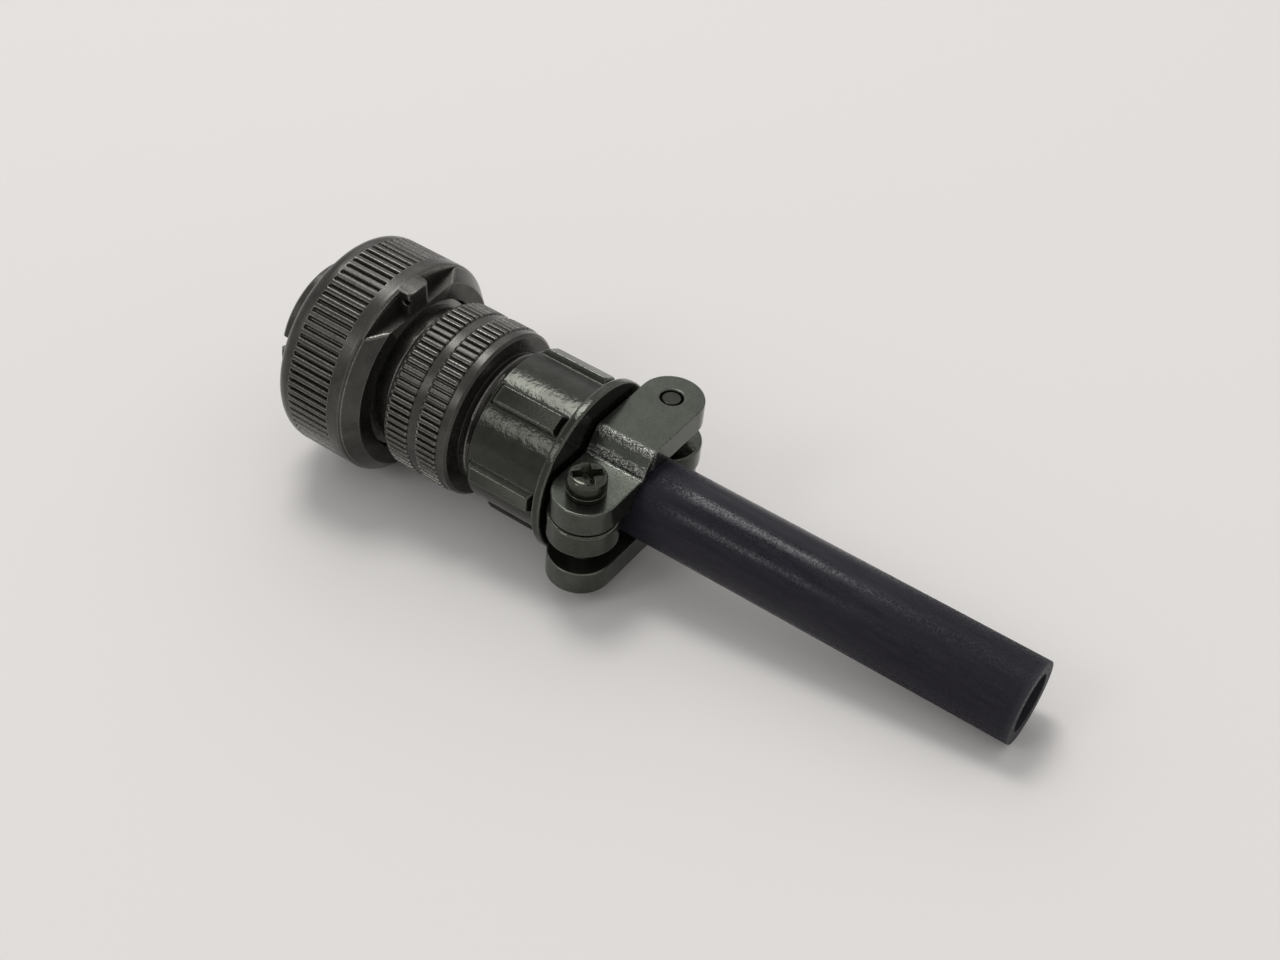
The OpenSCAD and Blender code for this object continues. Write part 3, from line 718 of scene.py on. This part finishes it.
# END BELL. Turned from aluminium and knurled in two bands with a smooth ring between them. It screws
# onto the shell's rear, and the clamp screws onto its neck.
bell_r = 11.4
bell_lip_r = 11.175
bell_lip = 14.55
rear_band = (15.95, 19.25)
front_band = (20.45, 23.95)
bell_front = 24.45
bell_chamfer = 0.35
bell_bore_r = 9.4
bell_floor = 15.95
bell_flutes = 70
bell_flute_depth = 0.45
bar_end = 0.25
neck_r = 8.85
neck_bore_r = 7.55
neck_rear = 3.05
neck_covered_end = 11.3  # the clamp hides the neck as far as here, so its rows are wider apart
neck_bare = 11.5
neck_relief = 0.2
neck_relief_rear = bell_lip - 0.35
neck_thread_end = bell_lip - 0.4
neck_thread_depth = 0.28
neck_pitch = 0.9


def bars(start, end):
    """Corners of a raised band for the knurl, sloped at each end. Close rows at its ends keep the
    lightened wear and painted highlight of their edges there."""
    top_start, top_end = start + bar_end, end - bar_end
    foot = [(bell_lip_r, start - row_gap, 0), (bell_lip_r, start, 0)]
    top = [(bell_r, x, 0) for x in (top_start, top_start + row_gap, top_end - row_gap, top_end)]
    return [*foot, *top, (bell_lip_r, end, 0), (bell_lip_r, end + row_gap, 0)]


bell = turned("end_bell", rounded([
    (neck_bore_r, neck_rear, 0.1),
    *stretch(neck_r, neck_rear, neck_covered_end, count=28),
    *stretch(neck_r, neck_bare, neck_relief_rear - neck_relief, count=16),
    (neck_r - neck_relief, neck_relief_rear, 0),
    (neck_r - neck_relief, bell_lip, 0.1),
    (bell_lip_r - bell_chamfer, bell_lip, 0.06),
    (bell_lip_r, bell_lip + bell_chamfer, 0.06),
    *bars(*rear_band),
    *bars(*front_band),
    (bell_lip_r, bell_front - bell_chamfer, 0.06),
    (bell_lip_r - bell_chamfer, bell_front, 0.06),
    (bell_bore_r, bell_front, 0.12),
    (bell_bore_r, bell_floor, 0),
    (neck_bore_r, bell_floor, 0.1),
]), segments=bell_flutes * points_per_flute)
for start, end in (rear_band, front_band):
    bell = grown(bell, knurl_tree, turned_olive, {
        "Surface Radius": bell_r,
        "Depth": bell_flute_depth,
        "Start": start,
        "End": end,
        "Run-out": bar_end / 2,
        "Flutes": bell_flutes,
    })
bell = grown(bell, thread_tree, turned_olive, {
    "Surface Radius": neck_r,
    "Depth": neck_thread_depth,
    "Start": neck_rear - neck_pitch,
    "End": neck_thread_end,
    "Run-out": 0.5,
    "Pitch": neck_pitch,
})
bell = dressed("bell", bell, turned_olive)
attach(bell, "plug")
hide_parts("end_bell")


# CLAMP BODY. A die-cast aluminium barrel with six drafted pads, a round rear flange and two ears that
# carry the clamp screws. It screws onto the end bell's neck.
# the clamp's inner corners, round the pads, get strong painted shade
cast_olive = olive_plating(
    "cast_olive", (0.046, 0.048, 0.040), roughness=0.15, rings=0.0, grain=1.6, corner_shade=0.85)
clamp_r = 10.1
clamp_bore_r = 8.9
clamp_front = 12.3
clamp_chamfer = 0.3
rear_wall = 3.0
sleeve_seat_r = 5.35
flange_r = 11.45
flange_t = 1.3

barrel = turned("clamp_body", rounded([
    (sleeve_seat_r, 0, 0.2),
    (flange_r, 0, 0.4),
    (flange_r, flange_t, 0.4),
    (clamp_r, flange_t, 0.3),
    (clamp_r, clamp_front - clamp_chamfer, 0.08),
    (clamp_r - clamp_chamfer, clamp_front, 0.08),
    (clamp_bore_r, clamp_front, 0.15),
    (clamp_bore_r, rear_wall, 0.1),
    (sleeve_seat_r, rear_wall, 0.1),
]), segments=144)

pad_count = 6
pad_w = 2.9
pad_h = 0.8
pad_slope = 0.9
pad_corner = 0.35
pad_margin = 0.7
pad_start = flange_t + pad_margin
pad_end = clamp_front - pad_margin
fillet_top = 0.15

# Each level of a pad is its height over the barrel and how far its outline draws in there: a fillet
# at the foot, leaning sides and an eased top edge.
pad_levels = [
    (-0.3, -0.26),
    (-0.01, -0.26),
    (0.02, -0.15),
    (0.07, -0.065),
    (fillet_top, 0),
    (0.45, 0.16),
    (0.7, 0.3),
    (0.77, 0.36),
    (pad_h, 0.44),
]


def pad_ring(height, inset):
    """A pad's outline at one level. It follows the barrel up to the fillet's top, and is flat above,
    where the front slopes back in a quarter round."""
    climb = max(0, height - fillet_top) / (pad_h - fillet_top)
    slope = pad_slope * (1 - math.sqrt(1 - climb ** 2)) if climb else inset
    front = pad_end - slope - pad_corner
    rear = pad_start + inset + pad_corner
    side = pad_w / 2 - inset - pad_corner
    outline = [
        *arc(front, side, pad_corner, 0, quarter_turn, steps=4),
        *arc(rear, side, pad_corner, quarter_turn, half_turn, steps=4),
        *arc(rear, -side, pad_corner, half_turn, 3 * quarter_turn, steps=4),
        *arc(front, -side, pad_corner, 3 * quarter_turn, full_turn, steps=4),
    ]
    top = clamp_r + height
    return [(x, top if climb else math.sqrt(top ** 2 - z ** 2), z) for x, z in outline]


pad = skinned("pad", [pad_ring(height, inset) for height, inset in pad_levels])
pads = grown(pad, copies_tree, cast_olive, {"Count": pad_count, "First Turn": 0})


def pillar(x, y, radius, low, high, segments=48):
    """An upright cylinder, as a cutter."""
    return prism("pillar", arc(x, y, radius, 0, full_turn, segments)[:-1], low, high, "z")


saddle_x = -4.55
screw_y = 8.7
clearance_r = 1.67
ear_t = 3.3
ear_r = 4.45
ear_waist = math.radians(30)
waist_x = saddle_x + ear_r * math.cos(ear_waist)
waist_y = screw_y + ear_r * math.sin(ear_waist)
root_x = flange_t / 2
root_y = waist_y - (root_x - waist_x) / math.tan(ear_waist)
ear_plan = [
    (root_x, screw_y - ear_r),
    (root_x, root_y),
    *arc(saddle_x, screw_y, ear_r, ear_waist, 3 * quarter_turn, steps=32),
]
ears = []
for side in (1, -1):
    ear = prism("ear", [(x, side * y) for x, y in ear_plan], -ear_t / 2, ear_t / 2, "z")
    ear = carved(ear, rod(sleeve_seat_r, saddle_x - 2 * ear_r, flange_t))
    ear = carved(ear, pillar(saddle_x, side * screw_y, clearance_r, -ear_t, ear_t))
    ears.append(eased(ear, width=0.35))
clamp = dressed("clamp", joined("clamp_body", [barrel, pads, *ears]), cast_olive)
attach(clamp, "plug")
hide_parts("clamp_body")


# CABLE SLEEVE. A smooth black rubber tube, cut square at its free end. The saddles grip it and its
# other end reaches into the clamp body.
sleeve_r = 5.25
sleeve_bore_r = 3.675
sleeve_rear = -59.3
sleeve_front = 9.0
sleeve_margin = 1.0


def drawn_out(tree, own, shrink, scale):
    """A cloudy pattern drawn out along the sleeve."""
    longer = add(tree, "ShaderNodeMapping", own)
    longer.inputs["Scale"].default_value = (shrink, 1.0, 1.0)
    return noise(tree, longer.outputs[0], scale, detail=2.0, roughness=0.5)


def sleeve_finish():
    """Black rubber with a violet tinge: ripples and fine lines drawn out along it, a broken gloss that
    is dulled beside the clamp and towards the free end, rubbed edges and a greyer cut."""
    dark_rubber = (0.0100, 0.0088, 0.0140, 1)
    light_rubber = (0.0165, 0.0148, 0.0220, 1)
    cut_grey = (0.024, 0.023, 0.026, 1)
    rubbed_grey = (0.10, 0.10, 0.105, 1)
    cut_cover, rubbed_cover = 0.7, 0.5
    dull_from, dull_full = -31.0, -46.0
    clamp_dull_from, clamp_dull_full = -16.0, -11.0
    gloss_rough, speck_rough, ripple_rough, dulled_rough = 0.03, 0.3, 0.1, 0.36
    material, tree, surface = new_material("sleeve_rubber")
    own = stored(tree, "own_mm", "Vector")
    bend = stored(tree, "edge_bend", "Fac")
    station = add(tree, "ShaderNodeSeparateXYZ", own).outputs["X"]
    ripple = drawn_out(tree, own, shrink=0.16, scale=1.6)
    line = drawn_out(tree, own, shrink=0.03, scale=2.2)
    speck = noise(tree, own, scale=4.0, detail=2.0, roughness=0.6)
    dull_end = share(tree, station, dull_from, dull_full)
    dulled = calc(tree, "MAXIMUM", dull_end, share(tree, station, clamp_dull_from, clamp_dull_full))
    cut = share(tree, station, sleeve_rear + 0.1, sleeve_rear + 0.02)
    rubbed = share(tree, bend, 0.05, 0.3)
    tone = mixed(tree, share(tree, ripple, 0.3, 0.7), dark_rubber, light_rubber)
    tone = mixed(tree, calc(tree, "MULTIPLY", cut, cut_cover), tone, cut_grey)
    tone = mixed(tree, calc(tree, "MULTIPLY", rubbed, rubbed_cover), tone, rubbed_grey)
    rough = calc(tree, "MULTIPLY_ADD", share(tree, speck, 0.4, 0.6), speck_rough, gloss_rough)
    rough = calc(tree, "MULTIPLY_ADD", ripple, ripple_rough, rough)
    rough = calc(tree, "MULTIPLY_ADD", dulled, dulled_rough, rough)
    height = calc(tree, "MULTIPLY_ADD", speck, 0.9, calc(tree, "MULTIPLY", ripple, 1.5))
    height = calc(tree, "ADD", line, height)
    coated(tree, surface, tone, rough, height, strength=0.7, depth=0.014)
    surface.inputs["Specular IOR Level"].default_value = 0.18
    return material


sleeve = turned("cable_sleeve", rounded([
    (sleeve_bore_r, sleeve_rear, 0.12),
    (sleeve_r, sleeve_rear, 0.1),
    *stretch(sleeve_r, sleeve_rear + sleeve_margin, sleeve_front - sleeve_margin, count=60),
    (sleeve_r, sleeve_front, 0.3),
    (sleeve_bore_r, sleeve_front, 0.25),
]), segments=128)
sleeve = dressed("sleeve", sleeve, sleeve_finish())
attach(sleeve, "plug")
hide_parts("cable_sleeve")


# SADDLES. Two identical aluminium castings arch over the sleeve, the lower one turned half a turn:
# each has a low spot-faced end with a plain hole, a ramp, and a raised end that is tapped.
saddle_w = 8.3
saddle_end_r = saddle_w / 2
saddle_reach = screw_y + saddle_end_r + overshoot
low_foot = 1.7
low_top = 5.1
high_foot = 4.7
high_top = 8.1
spot_step = 0.4
ramp_foot_y = 3.006
ridge_y = 1.206
ridge_round = 0.8
arch_r = 5.37
tapped_r = 1.48


def saddle_finish():
    """The cast finish, with rougher grain along the ridge and the spot face's step, lightened there
    partly as grain and partly as painted glints of light.
    """
    glint_grain_bands = ((ridge_y - 0.05, 0.65), (ramp_foot_y - 0.15, 0.5))
    full_share = 0.3
    wander = 0.9
    glint_grain_metal = (0.42, 0.42, 0.40, 1)
    grit_relief = 3.0
    # the saddle's inner corners get painted shade as well
    material = olive_plating(
        "saddle_olive", (0.058, 0.062, 0.052), roughness=0.22, rings=0.0, grain=0.3, corner_shade=0.7)
    tree = material.node_tree
    surface = tree.nodes["Principled BSDF"]
    own = stored(tree, "own_mm", "Vector")
    across = add(tree, "ShaderNodeSeparateXYZ", own).outputs["Y"]
    wobble = calc(tree, "SUBTRACT", noise(tree, own, scale=1.2, detail=3.0, roughness=0.6), 0.5)
    across = calc(tree, "MULTIPLY_ADD", wobble, wander, across)
    bands = []
    for middle, half in glint_grain_bands:
        off = calc(tree, "ABSOLUTE", calc(tree, "SUBTRACT", across, middle))
        bands.append(share(tree, off, half, half * full_share))
    band = calc(tree, "MAXIMUM", *bands)
    grit = noise(tree, own, scale=4.2, detail=4.0, roughness=0.75)
    # painted highlight: the lighter metal in these bands stands partly for the rough grain and partly for
    # sparkling glints of light on it
    glinting_grain = calc(tree, "MULTIPLY", band, share(tree, grit, 0.48, 0.6))
    tone = surface.inputs["Base Color"].links[0].from_socket
    tree.links.new(mixed(tree, glinting_grain, tone, glint_grain_metal), surface.inputs["Base Color"])
    bump = surface.inputs["Normal"].links[0].from_node
    plain = bump.inputs["Height"].links[0].from_socket
    height = calc(tree, "MULTIPLY_ADD", calc(tree, "MULTIPLY", band, grit), grit_relief, plain)
    tree.links.new(height, bump.inputs["Height"])
    return material


saddle_olive = saddle_finish()
saddle = prism("saddle", rounded([
    (saddle_reach, low_foot, 0),
    (saddle_reach, low_top, 0),
    (ramp_foot_y, low_top, 0),
    (ramp_foot_y, low_top + spot_step, 0.15),
    (ridge_y, high_top, ridge_round),
    (-saddle_reach, high_top, 0),
    (-saddle_reach, high_foot, 0),
    (0, high_foot, 0),
    (0, low_foot, 0),
], steps=6), saddle_x - saddle_w, saddle_x + saddle_w, "x")
saddle_plan = prism("saddle_plan", [
    *arc(saddle_x, screw_y, saddle_end_r, 0, half_turn, steps=24),
    *arc(saddle_x, -screw_y, saddle_end_r, half_turn, full_turn, steps=24),
], 0, 2 * high_top, "z")
saddle = carved(saddle, saddle_plan, "INTERSECT")
saddle = carved(saddle, rod(arch_r, saddle_x - saddle_w, saddle_x + saddle_w))
saddle = carved(saddle, pillar(saddle_x, screw_y, clearance_r, 0, 2 * high_top))
saddle = carved(saddle, pillar(saddle_x, -screw_y, tapped_r, 0, 2 * high_top))
saddle = eased(saddle, width=0.22)

turned_over = Matrix.Rotation(half_turn, 4, "X")
upper = dressed("saddle_upper", saddle.copy(), saddle_olive)
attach(upper, "upper_clamp")
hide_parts("upper_saddle")
lower = dressed("saddle_lower", saddle, saddle_olive, turned_over)
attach(lower, "lower_clamp")
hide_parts("lower_saddle")


# CLAMP SCREWS. Plated steel pan-head screws with cross recesses, one from above and one from below,
# each through one saddle and an ear into the other saddle's tapped end.
# the screws' inner corners, in the recess and under the head, get painted shade
screw_steel = olive_plating(
    "screw_steel", (0.042, 0.044, 0.035), roughness=0.15, rings=0.1, grain=0.3, corner_shade=0.8)
screw_r = 1.42
screw_tip = -7.95
tip_chamfer = 0.3
screw_thread_start = screw_tip + 0.35
screw_thread_end = low_foot + 0.6
screw_thread_rows = 112
screw_thread_depth = 0.2
screw_pitch = 0.635
head_r = 2.45
head_low = 5.9
head_top = 8.1
head_dome = 0.12
head_round = 0.75
recess_span = 4.0
recess_w = 1.25
recess_corner = 0.15
recess_depth = 1.5
recess_rise = 0.2
recess_floor_share = 0.6
recess_turn = math.radians(45)

screw = turned("clamp_screw", rounded([
    (0, screw_tip, 0),
    (screw_r - tip_chamfer, screw_tip, 0.05),
    (screw_r, screw_tip + tip_chamfer, 0.05),
    *stretch(screw_r, screw_thread_start, screw_thread_end, screw_thread_rows),
    (screw_r, head_low, 0.05),
    (head_r, head_low, 0.12),
    (head_r, head_top - head_dome, head_round),
    (0, head_top, 0),
], steps=6), segments=64)
screw = grown(screw, thread_tree, screw_steel, {
    "Surface Radius": screw_r,
    "Depth": screw_thread_depth,
    "Start": screw_tip,
    "End": screw_thread_end,
    "Run-out": 0.5,
    "Pitch": screw_pitch,
})
screw.transform(Matrix.Rotation(-quarter_turn, 4, "Y"))

wing = [
    (recess_span / 2, -recess_w / 2),
    (recess_span / 2, recess_w / 2),
    (recess_w / 2 + recess_corner, recess_w / 2),
    (recess_w / 2, recess_w / 2 + recess_corner),
]
cross = []
for quarter in range(4):
    angle = recess_turn + quarter * quarter_turn
    cosine, sine = math.cos(angle), math.sin(angle)
    cross += [(u * cosine - v * sine, u * sine + v * cosine) for u, v in wing]
recess = prism("recess", cross, head_top - recess_depth, head_top + recess_rise, "z")
for vert in recess.vertices:
    if vert.co.z < head_top:
        vert.co.xy *= recess_floor_share
screw = eased(carved(screw, recess), width=0.06, sharper_than=50)

at_screw = Matrix.Translation((saddle_x, screw_y, 0))
near = dressed("screw_near", screw.copy(), screw_steel, at_screw)
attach(near, "near_fastener")
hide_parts("near_screw")
far = dressed("screw_far", screw, screw_steel, turned_over @ at_screw)
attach(far, "far_fastener")
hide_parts("far_screw")


# LOCK WASHERS. Split rings of plated spring steel, one under each screw head, closed flat by the
# screw and cut through at a slant.
washer_r = 2.45
washer_bore_r = 1.67
washer_low = 5.15
washer_high = 5.85
washer_steps = 72
split_turn = math.radians(30)
split_half = 0.1  # half the split's width and its slant are angles, in radians
split_slant = 0.12

washer_section = rounded([
    (washer_bore_r, washer_low, 0.06),
    (washer_r, washer_low, 0.12),
    (washer_r, washer_high, 0.12),
    (washer_bore_r, washer_high, 0.06),
], steps=3)
washer_rings = []
for step in range(washer_steps + 1):
    along = split_turn + split_half + (full_turn - 2 * split_half) * step / washer_steps
    ring = []
    for radius, height in washer_section:
        lean = split_slant * ((height - washer_low) / (washer_high - washer_low) - 0.5)
        ring.append((radius * math.cos(along + lean), radius * math.sin(along + lean), height))
    washer_rings.append(ring)
washer = skinned("lock_washer", washer_rings)

near_washer = dressed("washer_near", washer.copy(), screw_steel, at_screw)
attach(near_washer, "upper_clamp")
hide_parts("near_lock_washer")
far_washer = dressed("washer_far", washer, screw_steel, turned_over @ at_screw)
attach(far_washer, "lower_clamp")
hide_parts("far_lock_washer")


# FLOOR, LIGHT AND CAMERA. A plain pale surface under soft studio light, from above and behind and
# more weakly from the front left, seen from the photograph's angle. These sizes are in metres.
floor_half = 2.0
floor_mesh = bpy.data.meshes.new("floor")
corners = [(x * floor_half, y * floor_half, 0) for x, y in ((-1, -1), (1, -1), (1, 1), (-1, 1))]
floor_mesh.from_pydata(corners, [], [(0, 1, 2, 3)])
floor_paper, _, floor_surface = new_material("floor_paper")
floor_surface.inputs["Base Color"].default_value = (0.80, 0.775, 0.755, 1)
floor_surface.inputs["Roughness"].default_value = 0.9
floor_mesh.materials.append(floor_paper)
floor = bpy.data.objects.new("floor", floor_mesh)
scene = bpy.context.scene
scene.collection.objects.link(floor)

camera_place = (-0.09174, 0.13455, 0.14927)
camera_tilt = math.radians(50.08)
camera_heading = math.radians(-145.38)
camera_data = bpy.data.cameras.new("camera")
camera_data.sensor_width = 36
camera_data.lens = 49.78
camera = bpy.data.objects.new("camera", camera_data)
camera.location = camera_place
camera.rotation_euler = (camera_tilt, 0, camera_heading)
scene.collection.objects.link(camera)
scene.camera = camera
scene.view_settings.view_transform = "Standard"


def softbox(name, place, size, power):
    """A square area light that faces the plug."""
    light = bpy.data.lights.new(name, "AREA")
    light.size = size
    light.energy = power
    lamp = bpy.data.objects.new(name, light)
    lamp.location = place
    lamp.rotation_euler = (-place).to_track_quat("-Z", "Y").to_euler()
    scene.collection.objects.link(lamp)


# Directions over the floor as the camera sees them
left = Vector((-math.cos(camera_heading), -math.sin(camera_heading), 0))
behind = Vector((-math.sin(camera_heading), math.cos(camera_heading), 0))
above = Vector((0, 0, 1))
softbox("key", behind * 0.4 + left * 0.12 + above * 1.13, size=0.4, power=4.4)
softbox("fill", -behind * 0.74 + left * 1.17 + above * 1.12, size=0.46, power=2.4)
softbox("backdrop", behind * 1.7 + above * 1.5, size=1.5, power=4.4)
world = bpy.data.worlds.new("studio")
world.use_nodes = True
sky = world.node_tree.nodes["Background"]
sky.inputs["Color"].default_value = (1.0, 1.0, 1.0, 1)
sky.inputs["Strength"].default_value = 0.56
scene.world = world
